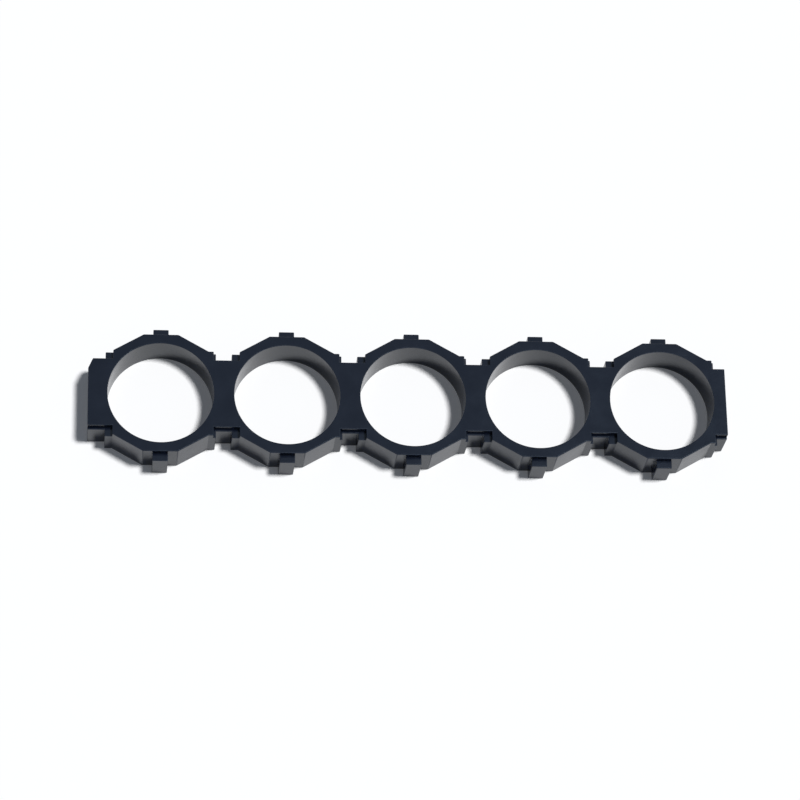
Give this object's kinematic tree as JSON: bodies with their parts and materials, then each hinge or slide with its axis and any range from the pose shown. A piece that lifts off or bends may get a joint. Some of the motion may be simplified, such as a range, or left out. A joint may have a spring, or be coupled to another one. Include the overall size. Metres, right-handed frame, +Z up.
{
  "type": "battery cell holder bracket",
  "caption": "Moulded strip that holds round battery cells upright side by side in honeycomb lobes, with tabs and notches that lock into the next strip.",
  "frame": {"origin": "middle of the strip's bounding box, on the underside", "axes": "+X along the row of bores, towards the end with the short wall; +Y towards the side with the cut corner; +Z up along the bores, out of the face that the tabs are stepped down from"},
  "size_m": [0.111, 0.0242, 0.007],
  "materials": {
    "plastic": "black moulded plastic with a satin face and a faint blue cast"
  },
  "bodies": {
    "root": {"cell_bracket": "plastic"}
  },
  "joints": []
}
